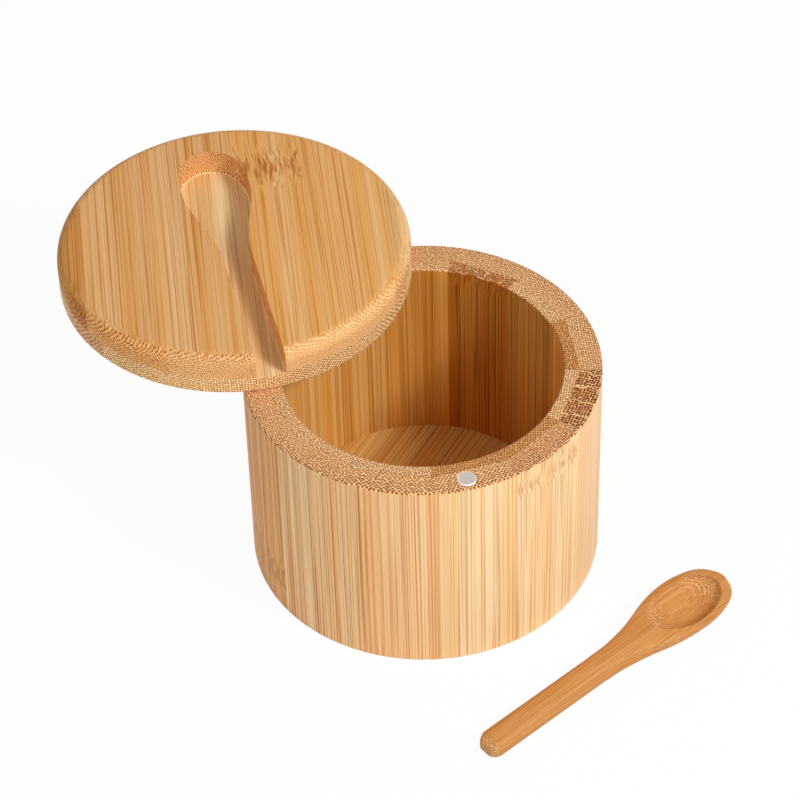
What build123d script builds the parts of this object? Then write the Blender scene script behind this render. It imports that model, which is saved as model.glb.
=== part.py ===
from build123d import *
import os
from math import copysign, cos, pi, radians, sin, tan

# Bamboo salt box with a swivel lid, and the spoon that belongs in the lid's groove.
#
# The box is coopered: two-ply bamboo staves are glued up into a ring, which is turned round inside
# and out, and a floor of bamboo strips is let into a rebate in its foot. The lid is a two-ply board
# of bamboo strips. It lies on the rim and turns about a steel pin, and a pair of magnets holds it
# shut. The groove in its top has the spoon's own outline.
#
# Millimetres, +Z up. The origin is the centre of the underside, and the pin stands on +Y.
# Bearings are degrees from +X, counterclockwise seen from above.

# Box
box_diameter = 90.0
box_height = 60.2
wall = 9.6                  # thickness of the wall at the rim
floor_thickness = 4.0
floor_rebate = 1.5          # how far the floor is let into the wall
rim_edge = 0.6              # rounding of the rim's two edges
foot_edge = 0.3             # rounding of the foot's outer edge
stave_count = 13
stave_bearing = 68.2        # of one of the joints between staves
outer_ply = 6.6             # thickness of the outer ply at the middle of a stave
floor_seams = (-0.201, 0.016, 0.232)  # places of the floor's seams, as shares of the box's diameter
floor_grain = 51.0          # bearing of the floor's strips
glue_line = 0.05            # room for glue round the floor, the magnets and the pin's foot
overcut = 5.0               # how far a cut runs on past the work

# Lid
lid_overhang = 0.3          # how far the lid stands out past the box, all round
lid_thickness = 11.2
lid_base_ply = 5.0          # thickness of the ply that lies on the rim
lid_top_edge = 3.4          # rounding of the lid's top edge
lid_under_edge = 0.6        # rounding of the lid's lower edge
lid_play = 0.1              # gap that the lid turns on, above the rim
lid_open = 95.8             # how far the lid stands open, clockwise from shut
lid_top_seams = (-0.432, -0.216, 0.027, 0.218, 0.434)  # as the floor's; the third lies in the groove
lid_base_seams = (-0.393, -0.14, 0.113, 0.367)  # the middle strip holds the whole groove
lid_grain = 82.3            # bearing of the strips in the lid's own frame, where +Y is the groove
groove_bearing = 189.1      # of the groove's closed end, with the lid shut
groove_aside = 0.4          # how far to one side of the lid's centre the groove passes
groove_land = 10.0          # solid lid left beyond the groove's closed end
groove_depth = 7.0
groove_floor_edge = 0.7     # hollow rounding along the foot of the groove's walls

# Pin and magnets
pin_diameter = 4.0
pin_inset = 4.7             # from the outside of the box to the pin's centre
pin_seat = 16.0             # length of pin glued into the rim
pin_reach = 6.5             # length of pin that stands up into the lid
pin_clearance = 0.05        # radial, where the lid turns on the pin
pin_headroom = 0.5          # between the pin's end and the bottom of its hole
pin_chamfer = 0.4
magnet_diameter = 5.0
magnet_thickness = 3.0
magnet_inset = 3.7          # from the outside of the box to the magnet's centre
magnet_bearing = -86.1
magnet_edge = 0.25

# Spoon, lying on the table in front of the box
spoon_length = 81.6
spoon_clearance = 0.45      # between the spoon and the groove's walls
bowl_width = 17.1
bowl_height = 6.3
bowl_front = 13.2           # from the tip to the widest place
bowl_tip_share = 0.895      # radius of the tip, as a share of half the bowl's width
shoulder_length = 31.0      # from the widest place to the parallel handle
shoulder_share = 0.39       # share of the shoulder that bulges before it hollows
handle_width = 6.6
handle_thickness = 5.35
neck_rise = 0.8             # how far the neck stands off the table
handle_round = 2.5          # length of the rounded end of the handle
handle_end_share = 0.65     # width of the end face, as a share of the handle
handle_squareness = 4.0     # exponent of the handle's section, where 2 is an ellipse
bowl_squareness = 2.2
lip_crown = 0.6             # height of the crowned edge round the bowl
tip_height = 5.2            # of the foremost point of the tip
hollow_length = 22.6
hollow_width = 14.4
hollow_depth = 4.3
hollow_setback = 2.6        # from the tip to the hollow's edge
spoon_end = (-0.5, -77.7)   # where the end of the handle lies
spoon_bearing = 29.9        # from the end of the handle to the tip
section_point_count = 16    # in each cross-section of the spoon
end_section_count = 4       # cross-sections in the rounded end of the handle
shoulder_section_count = 9
front_section_count = 6     # from the widest place to near the tip
front_reach = 0.93          # how near the tip the last cross-section comes, as a share

# Worked out
box_radius = box_diameter / 2
bore_radius = box_radius - wall
floor_radius = bore_radius + floor_rebate
ply_line = box_radius - outer_ply
stave_angle = 360 / stave_count
lid_radius = box_radius + lid_overhang
lid_bottom = box_height + lid_play
lid_top = lid_bottom + lid_thickness
ply_seam = lid_bottom + lid_base_ply
groove_floor = lid_top - groove_depth
pin_radius = pin_diameter / 2
pin_place = Vector(0, box_radius - pin_inset)
magnet_radius = magnet_diameter / 2
magnet_reach = box_radius - magnet_inset
magnet_place = Vector(magnet_reach, 0).rotate(Axis.Z, magnet_bearing)

# The lid is shaped with its groove along +Y, laid on the box shut and then swung open.
lid_turn = groove_bearing - 90
lid_shut = Rot(0, 0, lid_turn)
swing_open = Pos(pin_place) * Rot(0, 0, -lid_open) * Pos(-pin_place)


def rod(radius, bottom, top, place=Vector(0, 0)):
    """An upright cylinder at a place in the plan."""
    return Pos(place.X, place.Y, bottom) * extrude(Circle(radius), top - bottom)


def turned_disc(radius, bottom, top, under_edge, top_edge):
    """A disc with its two rims rounded."""
    disc = rod(radius, bottom, top)
    rims = disc.edges().filter_by(GeomType.CIRCLE).sort_by(Axis.Z)
    disc = fillet(rims[-1], top_edge)
    rims = disc.edges().filter_by(GeomType.CIRCLE).sort_by(Axis.Z)
    return fillet(rims[0], under_edge)


def turned_ring():
    """The coopered ring after turning: straight bore, rebate for the floor and eased edges."""
    ring = rod(box_radius, 0, box_height) - rod(bore_radius, -overcut, box_height + overcut)
    ring -= rod(floor_radius, -overcut, floor_thickness)
    rims = ring.edges().filter_by(GeomType.CIRCLE).group_by(Axis.Z)
    ring = fillet(rims[-1], rim_edge)
    foot = ring.edges().filter_by(GeomType.CIRCLE).group_by(Axis.Z)[0]
    return fillet(foot.sort_by(SortBy.RADIUS)[-1], foot_edge)


def upright_prism(corners, height):
    return extrude(make_face(Polyline(*corners, close=True)), height)


def saw_staves(ring):
    """Part the ring at its glue lines into staves, each an inner and an outer ply."""
    half = radians(stave_angle / 2)
    across = tan(half)
    reach = box_radius + overcut
    joint = [(ply_line, -ply_line * across), (ply_line, ply_line * across)]
    core = upright_prism([(0, 0)] + joint, box_height)
    rind = upright_prism([joint[0], (reach, -reach * across), (reach, reach * across), joint[1]],
                         box_height)
    staves = {}
    for number in range(1, stave_count + 1):
        turn = Rot(0, 0, stave_bearing + stave_angle * (number - 0.5))
        staves[f"stave_inner_{number:02d}"] = ring & (turn * core)
        staves[f"stave_outer_{number:02d}"] = ring & (turn * rind)
    return staves


def saw_strips(name, board, radius, seams, bearing):
    """Part a round board at its glue lines into bamboo strips along a bearing."""
    box = board.bounding_box()
    depth = box.max.Z - box.min.Z
    reach = radius + overcut
    edges = [-reach] + [share * box_diameter for share in seams] + [reach]
    strips = {}
    for number, (left, right) in enumerate(zip(edges, edges[1:]), start=1):
        strip = Pos((left + right) / 2, 0, box.min.Z + depth / 2) * Box(right - left, 2 * reach, depth)
        strips[f"{name}_{number}"] = board & (Rot(0, 0, bearing - 90) * strip)
    return strips


def spoon_arcs():
    """Radii of the spoon's outline: its tip, the side before the widest place, bulge and hollow."""
    half = bowl_width / 2
    tip = bowl_tip_share * half
    side = (bowl_front ** 2 - 2 * bowl_front * tip + half ** 2) / (2 * (half - tip))
    narrowing = (bowl_width - handle_width) / 2
    both = (shoulder_length ** 2 + narrowing ** 2) / (2 * narrowing)
    bulge = shoulder_share * both
    return tip, side, bulge, both - bulge


def spoon_points(margin=0.0):
    """Where the arcs of the outline meet, as (distance from the tip, half width), a margin outside."""
    tip, side, bulge, hollow = spoon_arcs()
    half = bowl_width / 2
    grown = (side + margin) / (side - tip)
    front = (bowl_front - (bowl_front - tip) * grown, half - side + (side - half) * grown)
    widest = (bowl_front, half + margin)
    neck = (bowl_front + shoulder_length, handle_width / 2 + margin)
    share = (bulge + margin) / (bulge + hollow)
    turn = tuple(w + (n - w) * share for w, n in zip(widest, neck))
    return front, widest, turn, neck


def spoon_half_width(from_tip):
    """Half the width of the spoon at a distance from its tip."""
    tip, side, bulge, hollow = spoon_arcs()
    front, widest, turn, neck = spoon_points()
    if from_tip < front[0]:
        return (tip ** 2 - (tip - from_tip) ** 2) ** 0.5
    if from_tip < turn[0]:
        radius = side if from_tip < widest[0] else bulge
        return widest[1] - radius + (radius ** 2 - (widest[0] - from_tip) ** 2) ** 0.5
    if from_tip < neck[0]:
        return neck[1] + hollow - (hollow ** 2 - (neck[0] - from_tip) ** 2) ** 0.5
    return neck[1]


def groove_cutter():
    """The spoon's outline with room round it, run out through the lid's edge along -Y."""
    tip_y = lid_radius - groove_land - spoon_clearance
    front, widest, turn, neck = [(across, tip_y - along)
                                 for along, across in spoon_points(spoon_clearance)]
    outside = (neck[0], -lid_radius - overcut)
    side = [TangentArc(widest, front, tangent=(0, 1)),
            TangentArc(widest, turn, tangent=(0, -1)),
            TangentArc(neck, turn, tangent=(0, 1)),
            Line(neck, outside)]
    other = [edge.mirror(Plane.YZ) for edge in side]
    end = ThreePointArc((-front[0], front[1]), (0, tip_y + spoon_clearance), front)
    mouth = Line(outside, (-outside[0], outside[1]))
    outline = make_face(Curve() + [end] + side + other + [mouth])
    cutter = Pos(0, 0, groove_floor) * extrude(outline, groove_depth + overcut)
    foot = cutter.edges().group_by(Axis.Z)[0]
    walls = [edge for edge in foot if edge.bounding_box().max.Y > -lid_radius]
    return fillet(walls, groove_floor_edge)


def make_lid():
    """The lid's strips, pocket and groove, and its magnet, all where the open lid stands."""
    board = lid_shut * turned_disc(lid_radius, lid_bottom, lid_top, lid_under_edge, lid_top_edge)
    board -= lid_shut * Pos(-groove_aside) * groove_cutter()
    hole_top = box_height + pin_reach + pin_headroom
    board -= rod(pin_radius + pin_clearance, lid_bottom - overcut, hole_top, pin_place)
    pocket_top = lid_bottom + magnet_thickness + glue_line
    board -= rod(magnet_radius + glue_line, lid_bottom - overcut, pocket_top, magnet_place)
    lower_ply = rod(lid_radius + overcut, lid_bottom - overcut, ply_seam)
    base = board & lower_ply
    top = board - lower_ply
    grain = lid_turn + lid_grain
    pieces = saw_strips("lid_base_strip", base, lid_radius, lid_base_seams, grain)
    pieces |= saw_strips("lid_top_strip", top, lid_radius, lid_top_seams, grain)
    pieces["lid_magnet"] = magnet(lid_bottom)
    return {name: swing_open * piece for name, piece in pieces.items()}


def magnet(bottom):
    disc = rod(magnet_radius, bottom, bottom + magnet_thickness, magnet_place)
    return chamfer(disc.edges().filter_by(GeomType.CIRCLE), magnet_edge)


def make_pin():
    pin = rod(pin_radius, box_height - pin_seat, box_height + pin_reach, pin_place)
    return chamfer(pin.edges().filter_by(GeomType.CIRCLE), pin_chamfer)


def make_box():
    """The ring's staves, the floor's strips, the pin and the rim's magnet."""
    ring = turned_ring()
    ring -= rod(pin_radius + glue_line, box_height - pin_seat, box_height + overcut, pin_place)
    pocket_floor = box_height - magnet_thickness - glue_line
    ring -= rod(magnet_radius + glue_line, pocket_floor, box_height + overcut, magnet_place)
    pieces = saw_staves(ring)
    floor_board = rod(floor_radius - glue_line, 0, floor_thickness)
    pieces |= saw_strips("floor_strip", floor_board, floor_radius, floor_seams, floor_grain)
    pieces["pivot_pin"] = make_pin()
    pieces["rim_magnet"] = magnet(box_height - magnet_thickness)
    return pieces


def spoon_section(from_tip):
    """One cross-section of the spoon, a soft oblong in the handle and a half oval in the bowl."""
    from_end = spoon_length - from_tip
    half = spoon_half_width(from_tip)
    run = min(max((from_tip - bowl_front) / shoulder_length, 0), 1)
    bowl_share = 1 - run * run * (3 - 2 * run)
    rise = neck_rise * min(from_end / (spoon_length - bowl_front - shoulder_length), 1)
    top = bowl_height * bowl_share + (rise + handle_thickness) * (1 - bowl_share)
    bottom = rise * (1 - bowl_share)
    middle = (bowl_height - lip_crown) * bowl_share + (top + bottom) / 2 * (1 - bowl_share)
    if from_tip < bowl_front:
        keel = (1 - (1 - from_tip / bowl_front) ** 2) ** 0.5
        bottom = (middle - lip_crown) * (1 - keel)
    if from_end < handle_round:
        short = (1 - from_end / handle_round) ** 2 * (1 - handle_end_share)
        half *= 1 - short
        top -= (top - middle) * short
        bottom += (middle - bottom) * short
    squareness = handle_squareness + (bowl_squareness - handle_squareness) * bowl_share
    points = []
    for corner in range(section_point_count):
        across, upward = on_soft_oblong(2 * pi * corner / section_point_count, squareness)
        height = top - middle if upward > 0 else middle - bottom
        points.append((across * half, middle + upward * height))
    station = Plane(origin=(from_end, 0, 0), x_dir=(0, 1, 0), z_dir=(1, 0, 0))
    knots = [corner / section_point_count for corner in range(section_point_count + 1)]
    return station * make_face(Edge.make_spline(points, periodic=True, parameters=knots))


def on_soft_oblong(angle, squareness):
    """A point of an oblong two units wide and high, whose corners are rounder as squareness nears 2."""
    return [copysign(abs(part) ** (2 / squareness), part) for part in (cos(angle), sin(angle))]


def make_spoon():
    """The spoon is lofted from its end to its tip, and the bowl is hollowed with an ellipsoid."""
    neck = bowl_front + shoulder_length
    round_end = [spoon_length - handle_round * share for share in shares(end_section_count)]
    shoulder = [neck - shoulder_length * share for share in shares(shoulder_section_count)]
    front = [bowl_front * (1 - sin(pi / 2 * front_reach * share)) for share in shares(front_section_count)]
    tip = Vertex(spoon_length, 0, tip_height)
    spoon = loft([spoon_section(from_tip) for from_tip in round_end])
    spoon += loft([spoon_section(round_end[-1]), spoon_section(neck)], ruled=True)
    spoon += loft([spoon_section(from_tip) for from_tip in shoulder + front[1:]] + [tip])
    hollow = scale(Sphere(1), by=(hollow_length / 2, hollow_width / 2, hollow_depth))
    hollow_place = spoon_length - hollow_setback - hollow_length / 2
    spoon -= Pos(hollow_place, 0, bowl_height) * hollow
    return Pos(*spoon_end) * Rot(0, 0, spoon_bearing) * spoon


def shares(count):
    """Evenly spaced numbers from 0 to 1."""
    return [number / (count - 1) for number in range(count)]


os.makedirs("parts", exist_ok=True)
pieces = make_box() | make_lid()
pieces["spoon"] = make_spoon()
for name, piece in pieces.items():
    export_step(piece, f"parts/{name}.step")
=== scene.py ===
from math import cos, radians, sin

import bmesh
import bpy
from mathutils import Matrix, Quaternion, Vector

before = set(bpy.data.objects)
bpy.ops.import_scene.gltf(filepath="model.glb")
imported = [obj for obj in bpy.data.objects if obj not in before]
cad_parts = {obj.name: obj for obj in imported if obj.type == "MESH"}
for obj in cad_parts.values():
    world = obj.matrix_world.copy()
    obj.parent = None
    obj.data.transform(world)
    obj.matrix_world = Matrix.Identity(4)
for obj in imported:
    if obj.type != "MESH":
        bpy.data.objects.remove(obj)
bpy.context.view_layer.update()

# Bamboo salt box with a swivel lid and a spoon, dressed for a white studio.
# The axes are those of the CAD model: +Z up, the origin under the middle of the box, the pin on +Y.
# Bearings are degrees from +X, counterclockwise seen from above. Lengths are in mm, apart from those
# of the lamps and of the paper's half side, which are in metres.

MM = 0.001
BOX_RADIUS = 45.0
OUTER_PLY_INSIDE = 38.4     # from the box's axis to the glue line between a stave's plies
STAVES = 13
STAVE_ANGLE = 360 / STAVES
FIRST_JOINT = 68.2          # bearing of the joint before stave 1
FLOOR_STRIPS = 4
FLOOR_GRAIN = 51.0          # bearing of the floor's strips
LID_TOP_STRIPS = 6
LID_BASE_STRIPS = 5
LID_GRAIN = 85.6            # bearing of the lid's strips as it stands open
LID_SEAM = 65.3             # height of the glue line between the lid's plies
LID_TOP = 71.5
SPOON_GRAIN = 29.9          # bearing of the spoon
MAGNET_BEARING = -86.1      # of the magnet in the rim
MAGNET_REACH = 41.3         # from the box's axis to the magnet's middle
HIGHLIGHT_START = 2.0           # radius at which the painted highlight on the magnet's chamfered edge starts
HIGHLIGHT_FULL = 2.2            # radius from which that painted highlight is full, out to its edge

CAMERA_PLACE = (-107.84, -588.36, 630.88)
CAMERA_AIM = (-7.87, -11.61, 60.54)
CAMERA_ROLL = -1.632        # degrees
LENS = 149.04               # focal length
SENSOR = 36.0               # width of the camera's sensor
LAMP_AIM = 40               # height on the box's axis at which the lamps are aimed
PAPER_HALF_SIDE = 3.0       # metres
PAPER_DROP = 0.2            # the paper lies this far under the box, so that their faces don't meet


def linear(hex_colour):
    """An sRGB hex colour as the linear RGBA that the shaders take."""
    channels = [int(hex_colour[place:place + 2], 16) / 255 for place in (1, 3, 5)]
    curved = [c / 12.92 if c <= 0.04045 else ((c + 0.055) / 1.055) ** 2.4 for c in channels]
    return (*curved, 1.0)


def add(tree, kind, inputs=(), **settings):
    """Add a shader node with its settings, and fill its inputs with values or links."""
    node = tree.nodes.new("ShaderNode" + kind)
    for name, value in settings.items():
        setattr(node, name, value)
    for socket, value in dict(inputs).items():
        if isinstance(value, bpy.types.NodeSocket):
            tree.links.new(value, node.inputs[socket])
        else:
            node.inputs[socket].default_value = value
    return node


def emptied_tree(owner):
    """The shader tree of a material or world, with nothing in it yet."""
    owner.use_nodes = True
    owner.node_tree.nodes.clear()
    return owner.node_tree


def new_material(name):
    """A material with one Principled shader, as (material, tree, shader)."""
    material = bpy.data.materials.new(name)
    tree = emptied_tree(material)
    shader = add(tree, "BsdfPrincipled")
    add(tree, "OutputMaterial", {"Surface": shader.outputs["BSDF"]})
    return material, tree, shader


def dress(node_name, material):
    """Give a CAD node its material."""
    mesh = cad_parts[node_name].data
    mesh.materials.clear()
    mesh.materials.append(material)


# Bamboo: the tones of its pieces
#
# A number in a name is a stave's. Left and right are those of someone who stands in front of the box.

# Along the grain: the pale tone, the warm tone and the dark lines.
WALL = ("#F8D9AB", "#F6CA90", "#C37D23")
WALL_10 = ("#F1CEA3", "#EBBC86", "#BB7522")
WALL_7 = ("#FCD6A0", "#F9B87A", "#BC6D1F")
WALL_6 = ("#FCDBA9", "#FCBD7E", "#BA6922")
# Staves 4 and 5 on the box's left: darker and more orange, painted shade of the side turned from the key
# lamp.
WALL_LEFT_PAINTED_SHADE = ("#F7BE85", "#E5A664", "#9C590F")
INSIDE = ("#F2C176", "#E2A54B", "#A95F0E")
# Inner staves 1, 11, 12 and 13, at the back and right of the inner wall: darker, painted shade of the wall
# turned from the key lamp.
INSIDE_PAINTED_SHADE = ("#F1B460", "#D8943A", "#945007")
INSIDE_12_PAINTED_SHADE = ("#DAA252", "#C2843A", "#834A12")
INSIDE_PAINTED_DEEP_SHADE = ("#D49240", "#BC7225", "#7D3800")
LID = ("#EEBD84", "#E1A55F", "#BB6D19")
# Strip 1 at the lid's left: darker, partly its own deeper tone and partly painted shade of the side turned
# from the key lamp.
LID_LEFT_TONE_AND_SHADE = ("#DCA05B", "#CA873F", "#9E5710")
LID_RIGHT = ("#EFBB7C", "#E4A252", "#C17118")
LID_PALE = ("#F2C890", "#E2AE6C", "#BC7C38")
BASE = ("#FCDEAA", "#EDC080", "#C1823A")
FLOOR = ("#F3C97D", "#DEA454", "#91560A")
SPOON = ("#DA9F62", "#C8843E", "#985720")

# End grain: the pale walls between the bundles of fibre, the ground, and the bundles.
RIM = ("#FAD09F", "#DA9B60", "#713204")
RIM_9 = ("#F8CA9A", "#D48C53", "#4D1A00")
RIM_INSIDE = ("#FCD8A9", "#E6A769", "#6D3104")
RIM_INSIDE_DARK = ("#E6B173", "#C78349", "#6B2F05")
RIM_13 = ("#F8D2A0", "#AC6C38", "#4A1E02")
RIM_NODE = ("#FCCE92", "#904315", "#401202")
LID_END = ("#F8C88C", "#EFB371", "#9D5D2A")
# End grain of strips 1 and 2 at the lid's left: darker, partly their own deeper tone and partly painted
# shade of the side turned from the key lamp.
LID_END_FAR_LEFT_TONE_AND_SHADE = ("#DC944C", "#C47731", "#743D16")
LID_END_LEFT_TONE_AND_SHADE = ("#FCC884", "#EDA15A", "#8F4E1A")
# End grain of strips 4 and 5 at the lid's right: paler, painted light.
LID_END_RIGHT_PAINTED_LIGHT = ("#FCD698", "#F9BC7A", "#C78952")
# End grain of the lower ply's strip 1 at the lid's left: darker, partly its own tone and partly painted
# shade.
BASE_END_LEFT_TONE_AND_SHADE = ("#F4C390", "#E8AA72", "#7E441A")
BASE_END = ("#FCDDA5", "#FCC482", "#93501C")
SPOON_END = ("#E8B27A", "#D89C5E", "#9A6434")

NODE = "#B0601C"            # the streaks in a node of the cane

# Bamboo: its patterns
#
# How often each changes per mm, across the grain (x and y) and along it (z).
SWAY = (0.05, 0.05, 0.008)          # fibres lean to and fro over about 20 mm
BANDS = (0.22, 0.22, 0.003)         # soft bands about 4.5 mm wide
LINES = (0.9, 0.9, 0.004)           # dark lines about 1 mm apart
HAIRS = (2.6, 2.6, 0.008)           # dark hairs about 0.4 mm apart
PATCHES = (0.35, 0.35, 0.01)        # bundles are darker in patches about 3 mm across
RAY_BENDS = (0.5, 0.5, 0.0)         # pale rays bend over about 2 mm
NODE_JAGS = (0.45, 0.45, 0.04)      # a node's edge has jags about 2 mm wide
NODE_CURLS = (0.4, 0.4, 0.22)       # its fibres curl over about 2.5 mm
NODE_STREAKS = (1.7, 1.7, 0.16)     # its dark streaks are about 0.6 mm apart

PITCH = 0.63                        # mm between bundles of fibre
UNEVEN_ROWS = 0.35                  # 0 would be a square grid of bundles, 1 no rows at all
SWAY_REACH = 1.2                    # mm that the fibres lean, at most
RELIEF = 0.05                       # mm by which the bundles lie lower than the ground round them
PIECE_STEP = (17.31, 31.77, 53.13)  # mm in the pattern from one piece's place to the next one's

# Where a mark starts to show, and where it shows in full.
DOT_EDGE = (0.48, 0.14)             # from the middle of a bundle, in pitches
NET_EDGE = (0.36, 0.6)              # the pale walls between bundles, from a bundle's middle, in pitches
GLUE_EDGE = (0.16, 0.06)            # mm from a joint, or from the line between the plies
RAY_EDGE = (0.1, 0.04)              # from the middle of a pale ray, in half spacings
END_FACE = (0.2, 0.42)              # end grain: 0 is a face along the grain, 1 one square across it

# How much of the dark tone a mark takes on.
LINE_DEPTH = 0.2
HAIR_DEPTH = 0.75
BUNDLE_DEPTHS = (0.08, 0.6)         # along the grain: of the faintest and the darkest bundle
PATCH_DEPTHS = (0.7, 1.0)           # across the grain: of the faintest and the darkest patch
SKIN_DEPTHS = (0.7, 1.15)           # and that times this, from the cane's inside out to its skin
GLUE_DEPTH = 0.25
RAY_DEPTH = 0.9                     # how much of the pale tone a ray takes on

# The pieces' places in the pattern. The staves' are 1 to 13 outside and 14 to 26 inside.
FLOOR_PIECES = 30
LID_TOP_PIECES = 40
LID_BASE_PIECES = 50
SPOON_PIECE = 60

# What sets single staves and strips apart, in the words of bamboo() below.
OUTER_STAVES = {
    4: dict(sides=WALL_LEFT_PAINTED_SHADE),
    5: dict(sides=WALL_LEFT_PAINTED_SHADE, pitch=0.62, lines=1.1,
            knot=dict(height=11, half_length=7, swirl=0.8, strength=0.3)),
    6: dict(sides=WALL_6, pitch=0.66, lines=1.25),
    7: dict(sides=WALL_7, pitch=0.8, lines=1.2, rows=45),
    8: dict(pitch=0.75, lines=0.9, rows=40),
    9: dict(ends=RIM_9, pitch=0.62, lines=0.95, rows=2,
            knot=dict(height=54, half_length=4, swirl=0.8, strength=0.4)),
    10: dict(sides=WALL_10, ends=RIM_NODE, pitch=0.72, lines=0.45, rows=4, rays=2.6,
             knot=dict(height=62, half_length=5, swirl=0.8, strength=0.5)),
}
INNER_STAVES = {
    1: dict(sides=INSIDE_PAINTED_SHADE),
    8: dict(ends=RIM_INSIDE_DARK),
    9: dict(ends=RIM_INSIDE_DARK),
    11: dict(sides=INSIDE_PAINTED_SHADE, ends=RIM_INSIDE_DARK),
    12: dict(sides=INSIDE_12_PAINTED_SHADE),
    13: dict(sides=INSIDE_PAINTED_DEEP_SHADE, ends=RIM_13, rays=2.4,
             knot=dict(height=61, half_length=6, swirl=0.8, strength=0.9)),
}
LID_TOP_LOOKS = {
    1: dict(sides=LID_LEFT_TONE_AND_SHADE, ends=LID_END_FAR_LEFT_TONE_AND_SHADE, pitch=0.62),
    2: dict(ends=LID_END_LEFT_TONE_AND_SHADE, pitch=0.6),
    3: dict(pitch=0.56),
    4: dict(sides=LID_RIGHT, ends=LID_END_RIGHT_PAINTED_LIGHT, pitch=0.52,
            knot=dict(height=-67.5, half_length=10, swirl=1.2, strength=0.8)),
    5: dict(sides=LID_RIGHT, ends=LID_END_RIGHT_PAINTED_LIGHT, pitch=0.5),
    6: dict(sides=LID_PALE, pitch=0.5),
}
LID_BASE_LOOKS = {1: dict(ends=BASE_END_LEFT_TONE_AND_SHADE)}


def streaks(tree, course, per_mm, detail=1.0, **inputs):
    """Noise drawn out along the grain, read at a course through the pattern."""
    drawn_out = add(tree, "VectorMath", {0: course.outputs[0], 1: per_mm}, operation="MULTIPLY")
    return add(tree, "TexNoise", {"Vector": drawn_out.outputs[0], "Scale": 1.0, "Detail": detail,
                                  **inputs})


def fibres(tree, place, piece):
    """The piece's own place in the pattern, and the course of its fibres, which waver a little."""
    seed = tuple(step * piece for step in PIECE_STEP)
    moved = add(tree, "VectorMath", {0: place.outputs["Vector"], 1: seed}, operation="ADD")
    waver = streaks(tree, moved, SWAY)
    sway = add(tree, "VectorMath", {0: waver.outputs["Color"], 1: (SWAY_REACH, SWAY_REACH, 0.0)},
               operation="MULTIPLY")
    grown = add(tree, "VectorMath", {0: moved.outputs[0], 1: sway.outputs[0]}, operation="ADD")
    return moved, grown


def curled_fibres(tree, axes, moved, grown, height, half_length, swirl):
    """How far a place lies within a node of the cane, 0 to 1, and the fibres' course with curls there."""
    away = add(tree, "Math", {0: axes.outputs["Z"], 1: height}, operation="SUBTRACT")
    away = add(tree, "Math", {0: away.outputs[0]}, operation="ABSOLUTE")
    jags = streaks(tree, moved, NODE_JAGS, detail=2.0)
    ragged = add(tree, "Math", {0: jags.outputs["Fac"], 1: half_length, 2: away.outputs[0]},
                 operation="MULTIPLY_ADD")
    within = add(tree, "MapRange", {"Value": ragged.outputs[0], "From Min": 1.5 * half_length,
                                    "From Max": 0.5 * half_length}, interpolation_type="SMOOTHSTEP")
    curls = streaks(tree, moved, NODE_CURLS)
    curls = add(tree, "VectorMath", {0: curls.outputs["Color"], 1: (swirl, swirl, 0.0)},
                operation="MULTIPLY")
    curls = add(tree, "VectorMath", {0: curls.outputs[0], "Scale": within.outputs[0]}, operation="SCALE")
    curled = add(tree, "VectorMath", {0: grown.outputs[0], 1: curls.outputs[0]}, operation="ADD")
    return within, curled


def fibre_bundles(tree, grown, pitch, rows):
    """Bundles of fibre in uneven rows, and the dot that each makes where it is cut across."""
    course = add(tree, "VectorMath", {0: grown.outputs[0], "Scale": 1 / pitch}, operation="SCALE")
    course = add(tree, "VectorRotate", {"Vector": course.outputs[0], "Angle": radians(rows)},
                 rotation_type="Z_AXIS")
    bundle = add(tree, "TexVoronoi", {"Vector": course.outputs[0], "Scale": 1.0, "Randomness": UNEVEN_ROWS},
                 voronoi_dimensions="2D")
    starts, full = DOT_EDGE
    dot = add(tree, "MapRange", {"Value": bundle.outputs["Distance"], "From Min": starts, "From Max": full})
    return bundle, dot


def long_grain(tree, grown, bundle, dot, tones, lines):
    """Soft bands some millimetres wide, and thin dark lines down to a fifth of one."""
    pale, warm, dark = [linear(tone) for tone in tones]
    band = streaks(tree, grown, BANDS, detail=3.0, Roughness=0.6)
    band = add(tree, "MapRange", {"Value": band.outputs["Fac"], "From Min": 0.36, "From Max": 0.7})
    side = add(tree, "Mix", {0: band.outputs[0], 6: pale, 7: warm}, data_type="RGBA")
    line = streaks(tree, grown, LINES)
    line = add(tree, "MapRange", {"Value": line.outputs["Fac"], "From Min": 0.57, "From Max": 0.68,
                                  "To Max": LINE_DEPTH * lines})
    hair = streaks(tree, grown, HAIRS)
    hair = add(tree, "MapRange", {"Value": hair.outputs["Fac"], "From Min": 0.52, "From Max": 0.68,
                                  "To Max": HAIR_DEPTH * lines})

    # The bundles run along the grain as lines too, few of them dark.
    faintest, darkest = BUNDLE_DEPTHS
    fibre = add(tree, "MapRange", {"Value": bundle.outputs["Color"], "From Min": 0.4, "From Max": 0.9,
                                   "To Min": faintest * lines, "To Max": darkest * lines})
    faint = add(tree, "Math", {0: dot.outputs[0], 1: fibre.outputs[0], 2: line.outputs[0]},
                operation="MULTIPLY_ADD")
    drawn = add(tree, "Math", {0: faint.outputs[0], 1: hair.outputs[0]}, operation="MAXIMUM")
    return add(tree, "Mix", {0: drawn.outputs[0], 6: side.outputs[2], 7: dark}, data_type="RGBA")


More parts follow.
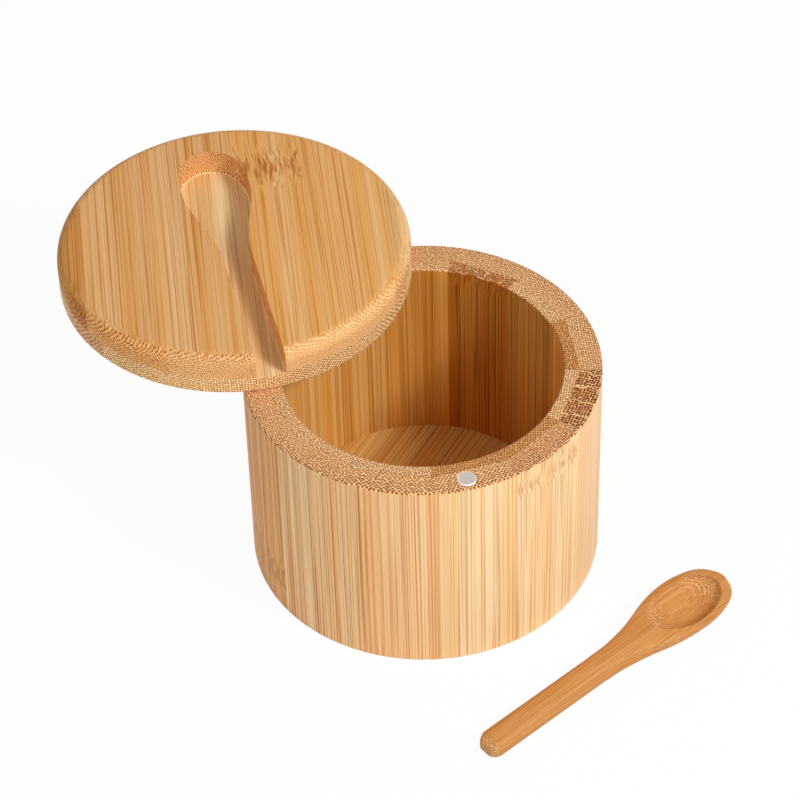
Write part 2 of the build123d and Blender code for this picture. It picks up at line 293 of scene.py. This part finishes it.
def cut_grain(tree, grown, axes, bundle, dot, tones, outer_skin):
    """Brown dots of fibre bundles in a paler ground, darker by patches and towards the cane's skin."""
    walls, ground, fibre = [linear(tone) for tone in tones]
    patch = streaks(tree, grown, PATCHES)
    faintest, darkest = PATCH_DEPTHS
    depth = add(tree, "MapRange", {"Value": patch.outputs["Fac"], "From Min": 0.35, "From Max": 0.65,
                                   "To Min": faintest, "To Max": darkest})
    if outer_skin:
        inside, skin = outer_skin
        faintest, darkest = SKIN_DEPTHS
        share = add(tree, "MapRange", {"Value": axes.outputs["X"], "From Min": inside, "From Max": skin,
                                       "To Min": faintest, "To Max": darkest})
        depth = add(tree, "Math", {0: depth.outputs[0], 1: share.outputs[0]}, operation="MULTIPLY")
    stain = add(tree, "Math", {0: dot.outputs[0], 1: depth.outputs[0]}, operation="MULTIPLY",
                use_clamp=True)
    starts, full = NET_EDGE
    net = add(tree, "MapRange", {"Value": bundle.outputs["Distance"], "From Min": starts, "From Max": full})
    between = add(tree, "Mix", {0: net.outputs[0], 6: ground, 7: walls}, data_type="RGBA")
    return add(tree, "Mix", {0: stain.outputs[0], 6: between.outputs[2], 7: fibre}, data_type="RGBA")


def pale_rays(tree, cut, axes, moved, half_spacing, tone):
    """Pale rays that cross the end of a stave where it is cut through a node."""
    bends = streaks(tree, moved, RAY_BENDS)
    across = add(tree, "Math", {0: axes.outputs["Y"], 1: 1 / half_spacing, 2: bends.outputs["Fac"]},
                 operation="MULTIPLY_ADD")
    across = add(tree, "Math", {0: across.outputs[0], 1: 1.0}, operation="PINGPONG")
    starts, full = RAY_EDGE
    ray = add(tree, "MapRange", {"Value": across.outputs[0], "From Min": starts, "From Max": full,
                                 "To Max": RAY_DEPTH})
    return add(tree, "Mix", {0: ray.outputs[0], 6: cut.outputs[2], 7: linear(tone)}, data_type="RGBA")


def glue_lines(tree, cut, axes, joint, tone):
    """Faint, thin brown lines on a stave's end: at both its joints and between its plies."""
    lean = add(tree, "Math", {0: axes.outputs["Y"]}, operation="ABSOLUTE")
    lean = add(tree, "Math", {0: lean.outputs[0], 1: cos(radians(joint))}, operation="MULTIPLY")
    gap = add(tree, "Math", {0: axes.outputs["X"], 1: sin(radians(joint))}, operation="MULTIPLY")
    gap = add(tree, "Math", {0: gap.outputs[0], 1: lean.outputs[0]}, operation="SUBTRACT")
    ply = add(tree, "Math", {0: axes.outputs["X"], 1: OUTER_PLY_INSIDE}, operation="SUBTRACT")
    ply = add(tree, "Math", {0: ply.outputs[0]}, operation="ABSOLUTE")
    gap = add(tree, "Math", {0: gap.outputs[0], 1: ply.outputs[0]}, operation="MINIMUM")
    starts, full = GLUE_EDGE
    glue = add(tree, "MapRange", {"Value": gap.outputs[0], "From Min": starts, "From Max": full,
                                  "To Max": GLUE_DEPTH})
    return add(tree, "Mix", {0: glue.outputs[0], 6: cut.outputs[2], 7: linear(tone)}, data_type="RGBA")


def node_streaks(tree, colour, grown, within, strength):
    """Dark, curled streaks over the colour within a node of the cane."""
    marks = streaks(tree, grown, NODE_STREAKS, detail=2.0)
    marks = add(tree, "Math", {0: within.outputs[0], 1: 0.32, 2: marks.outputs["Fac"]},
                operation="MULTIPLY_ADD")
    marks = add(tree, "MapRange", {"Value": marks.outputs[0], "From Min": 0.72, "From Max": 0.9,
                                   "To Max": strength})
    return add(tree, "Mix", {0: marks.outputs[0], 6: colour.outputs[2], 7: linear(NODE)}, data_type="RGBA")


def bamboo(name, sides, ends, turn, piece, pitch=PITCH, outer_skin=None, knot=None, joint=None, lines=1.0,
           rows=20, rays=None):
    """Sanded, oiled bamboo. It looks dull, with thin dark lines along the grain and brown dots across it.

    sides and ends are the tones listed above.
    turn brings the grain to the pattern's z axis and the strip's thickness to its x axis.
    piece is the piece's place in the pattern.
    pitch is the distance between bundles of fibre, in mm.
    outer_skin is (x of the cane's inside, x of its skin) in mm, between which the bundles grow darker.
    knot is a node of the cane: its place along the grain, its half length and its swirl in mm, and the
    strength of its marks.
    joint is the half angle of a stave, whose glue lines show on its end grain.
    lines is the strength of the dark lines.
    rows is the turn of the rows of bundles, in degrees.
    rays is half the distance between the pale rays that cross the end of a stave at a node, in mm.
    """
    material, tree, shader = new_material(name)
    coordinates = add(tree, "TexCoord")
    place = add(tree, "Mapping", {"Vector": coordinates.outputs["Object"], "Rotation": turn,
                                  "Scale": (1 / MM, 1 / MM, 1 / MM)})
    axes = add(tree, "SeparateXYZ", {"Vector": place.outputs["Vector"]})
    facing = add(tree, "Mapping", {"Vector": coordinates.outputs["Normal"], "Rotation": turn})
    facing_axes = add(tree, "SeparateXYZ", {"Vector": facing.outputs["Vector"]})
    steep = add(tree, "Math", {0: facing_axes.outputs["Z"]}, operation="ABSOLUTE")
    starts, full = END_FACE
    end_grain = add(tree, "MapRange", {"Value": steep.outputs[0], "From Min": starts, "From Max": full},
                    interpolation_type="SMOOTHSTEP")

    moved, grown = fibres(tree, place, piece)
    if knot:
        within, grown = curled_fibres(tree, axes, moved, grown, knot["height"], knot["half_length"],
                                      knot["swirl"])
    bundle, dot = fibre_bundles(tree, grown, pitch, rows)
    side = long_grain(tree, grown, bundle, dot, sides, lines)
    cut = cut_grain(tree, grown, axes, bundle, dot, ends, outer_skin)
    if rays:
        cut = pale_rays(tree, cut, axes, moved, rays, ends[0])
    if joint:
        cut = glue_lines(tree, cut, axes, joint, ends[2])
    colour = add(tree, "Mix", {0: end_grain.outputs[0], 6: side.outputs[2], 7: cut.outputs[2]},
                 data_type="RGBA")
    if knot:
        colour = node_streaks(tree, colour, grown, within, knot["strength"])

    relief = add(tree, "Bump", {"Height": dot.outputs[0], "Strength": 0.2, "Distance": RELIEF * MM},
                 invert=True)
    shader.inputs["Roughness"].default_value = 0.52
    shader.inputs["Specular IOR Level"].default_value = 0.08
    tree.links.new(colour.outputs[2], shader.inputs["Base Color"])
    tree.links.new(relief.outputs[0], shader.inputs["Normal"])
    return material


def lying(bearing):
    """The turn of a board's pattern: grain along a bearing, thickness upwards."""
    flat = Matrix.Rotation(radians(90), 3, "Y") @ Matrix.Rotation(radians(-bearing), 3, "Z")
    return flat.to_euler()


def dress_wall():
    """The ring of staves, each of an outer and an inner ply, whose bundles lie in rows of their own."""
    for number in range(1, STAVES + 1):
        bearing = FIRST_JOINT + STAVE_ANGLE * (number - 0.5)
        turn = (0, 0, radians(-bearing))
        outer = dict(sides=WALL, ends=RIM, rows=20 + 15 * number, outer_skin=(OUTER_PLY_INSIDE, BOX_RADIUS))
        outer.update(OUTER_STAVES.get(number, {}))
        inner = dict(sides=INSIDE, ends=RIM_INSIDE, rows=35 * number)
        inner.update(INNER_STAVES.get(number, {}))
        dress(f"stave_outer_{number:02d}",
              bamboo(f"bamboo_stave_outer_{number:02d}", turn=turn, piece=number, joint=STAVE_ANGLE / 2,
                     **outer))
        dress(f"stave_inner_{number:02d}",
              bamboo(f"bamboo_stave_inner_{number:02d}", turn=turn, piece=number + STAVES,
                     joint=STAVE_ANGLE / 2, **inner))


def dress_floor():
    """The strips of the floor, whose ends are hidden in the wall."""
    for number in range(1, FLOOR_STRIPS + 1):
        dress(f"floor_strip_{number}",
              bamboo(f"bamboo_floor_{number}", FLOOR, SPOON_END, lying(FLOOR_GRAIN),
                     FLOOR_PIECES + number))


def dress_lid():
    """The strips of the lid's upper ply, and those of its paler lower ply."""
    for number in range(1, LID_TOP_STRIPS + 1):
        strip = dict(sides=LID, ends=LID_END, rows=25 * number)
        strip.update(LID_TOP_LOOKS[number])
        dress(f"lid_top_strip_{number}",
              bamboo(f"bamboo_lid_top_{number}", turn=lying(LID_GRAIN), piece=LID_TOP_PIECES + number,
                     outer_skin=(LID_SEAM, LID_TOP), **strip))
    for number in range(1, LID_BASE_STRIPS + 1):
        strip = dict(sides=BASE, ends=BASE_END, pitch=0.7, rows=30 * number)
        strip.update(LID_BASE_LOOKS.get(number, {}))
        dress(f"lid_base_strip_{number}",
              bamboo(f"bamboo_lid_base_{number}", turn=lying(LID_GRAIN), piece=LID_BASE_PIECES + number,
                     **strip))


def dress_spoon():
    """One piece of finer, darker bamboo."""
    dress("spoon", bamboo("bamboo_spoon", SPOON, SPOON_END, lying(SPOON_GRAIN), SPOON_PIECE, pitch=0.5,
                          lines=0.7))


# Metal

CLOUDS = 1.2                    # how often the shine changes per mm
CLOUD_DEPTHS = (-0.06, 0.08)    # the most that this changes the roughness, down and up
MAGNET_PAINTED_HIGHLIGHT = "#E8E2DE"       # painted highlight where the magnet's chamfered edge catches the light


def plated(name, hex_colour, roughness, highlight_centre=None):
    """Nickel-plated or drawn metal: soft, cloudy reflections, and a painted highlight on the chamfered edge
    round a magnet's face.
    """
    material, tree, shader = new_material(name)
    place = add(tree, "TexCoord")
    marks = add(tree, "TexNoise", {"Vector": place.outputs["Object"], "Scale": CLOUDS / MM, "Detail": 3.0})
    shinier, duller = CLOUD_DEPTHS
    shade = add(tree, "MapRange", {"Value": marks.outputs["Fac"], "From Min": 0.3, "From Max": 0.7,
                                   "To Min": roughness + shinier, "To Max": roughness + duller})
    shader.inputs["Base Color"].default_value = linear(hex_colour)
    shader.inputs["Metallic"].default_value = 1.0
    tree.links.new(shade.outputs[0], shader.inputs["Roughness"])
    # A pale ring on the magnet's chamfered edge: a painted highlight.
    if highlight_centre:
        flat = add(tree, "VectorMath", {0: place.outputs["Object"], 1: (1.0, 1.0, 0.0)},
                   operation="MULTIPLY")
        away = add(tree, "VectorMath", {0: flat.outputs[0], 1: highlight_centre}, operation="DISTANCE")
        rim = add(tree, "MapRange", {"Value": away.outputs["Value"], "From Min": HIGHLIGHT_START * MM,
                                     "From Max": HIGHLIGHT_FULL * MM})
        colour = add(tree, "Mix", {0: rim.outputs[0], 6: linear(hex_colour), 7: linear(MAGNET_PAINTED_HIGHLIGHT)},
                     data_type="RGBA")
        tree.links.new(colour.outputs[2], shader.inputs["Base Color"])
    return material


def dress_metal():
    """The magnet in the rim, its mate in the lid, and the pin that the lid turns about."""
    bearing = radians(MAGNET_BEARING)
    highlight_centre = Vector((cos(bearing), sin(bearing), 0)) * MAGNET_REACH * MM
    dress("rim_magnet", plated("nickel_plate", "#C8BDB6", 0.45, highlight_centre))
    dress("lid_magnet", plated("nickel_plate_lid", "#CBC3BF", 0.45))
    dress("pivot_pin", plated("drawn_steel", "#B9B9B9", 0.3))


# Studio

WHITE = "#FFFFFF"
PAPER = "#F3F3F3"
PAPER_GLOW = 0.95           # share of plain white in what the eye sees of the paper


def reaches_eye(tree):
    """1 on the rays that show a thing to the eye: straight, mirrored or through glass."""
    rays = add(tree, "LightPath")
    seen = add(tree, "Math", {0: rays.outputs["Is Camera Ray"], 1: rays.outputs["Is Glossy Ray"]},
               operation="MAXIMUM")
    return add(tree, "Math", {0: seen.outputs[0], 1: rays.outputs["Is Transmission Ray"]},
               operation="MAXIMUM")


def white_paper():
    """Matt paper that the eye sees as almost plain white, with just enough shading for a shadow."""
    material = bpy.data.materials.new("white_paper")
    tree = emptied_tree(material)
    seen = reaches_eye(tree)
    share = add(tree, "Math", {0: seen.outputs[0], 1: PAPER_GLOW}, operation="MULTIPLY")
    paper = add(tree, "BsdfDiffuse", {"Color": linear(PAPER)})
    white = add(tree, "Emission", {"Color": linear(WHITE), "Strength": 1.0})
    both = add(tree, "MixShader", {0: share.outputs[0], 1: paper.outputs[0], 2: white.outputs[0]})
    add(tree, "OutputMaterial", {"Surface": both.outputs[0]})
    return material


def make_floor():
    """A wide sheet of paper just under the box."""
    shape = bmesh.new()
    bmesh.ops.create_grid(shape, x_segments=1, y_segments=1, size=PAPER_HALF_SIDE)
    mesh = bpy.data.meshes.new("floor")
    shape.to_mesh(mesh)
    shape.free()
    mesh.transform(Matrix.Translation((0, 0, -PAPER_DROP * MM)))
    mesh.materials.append(white_paper())
    floor = bpy.data.objects.new("floor", mesh)
    bpy.context.scene.collection.objects.link(floor)


def make_world(strength):
    """White to the eye and in reflections, and an even soft light."""
    world = bpy.data.worlds.new("studio")
    bpy.context.scene.world = world
    tree = emptied_tree(world)
    seen = reaches_eye(tree)
    glow = add(tree, "MapRange", {"Value": seen.outputs[0], "To Min": strength, "To Max": 1.0})
    sky = add(tree, "Background", {"Color": linear(WHITE), "Strength": glow.outputs[0]})
    add(tree, "OutputWorld", {"Surface": sky.outputs[0]})


def add_lamp(name, place, side, power):
    """A square soft box, aimed near the middle of the salt box. Its place and side are in metres."""
    lamp = bpy.data.lights.new(name, "AREA")
    lamp.shape = "SQUARE"
    lamp.size = side
    lamp.energy = power
    holder = bpy.data.objects.new(name, lamp)
    place = Vector(place)
    aim = Vector((0, 0, LAMP_AIM * MM))
    holder.matrix_world = Matrix.LocRotScale(place, (aim - place).to_track_quat("-Z", "Y"), None)
    bpy.context.scene.collection.objects.link(holder)


def make_camera():
    """A long lens, 44 degrees above the horizon, in front of the box and a little to its left."""
    place = Vector(CAMERA_PLACE) * MM
    aim = Vector(CAMERA_AIM) * MM
    roll = Quaternion((0, 0, 1), radians(CAMERA_ROLL))
    camera = bpy.data.cameras.new("camera")
    camera.sensor_width = SENSOR
    camera.lens = LENS
    holder = bpy.data.objects.new("camera", camera)
    turn = (aim - place).to_track_quat("-Z", "Y") @ roll
    holder.matrix_world = Matrix.LocRotScale(place, turn, None)
    bpy.context.scene.collection.objects.link(holder)
    bpy.context.scene.camera = holder


dress_wall()
dress_floor()
dress_lid()
dress_spoon()
dress_metal()
make_floor()
make_world(strength=0.38)
add_lamp("key", place=(0.5, -0.55, 0.75), side=0.25, power=7.4)
add_lamp("fill", place=(-0.7, -0.5, 0.6), side=0.6, power=1.5)
make_camera()
bpy.context.scene.view_settings.view_transform = "Standard"
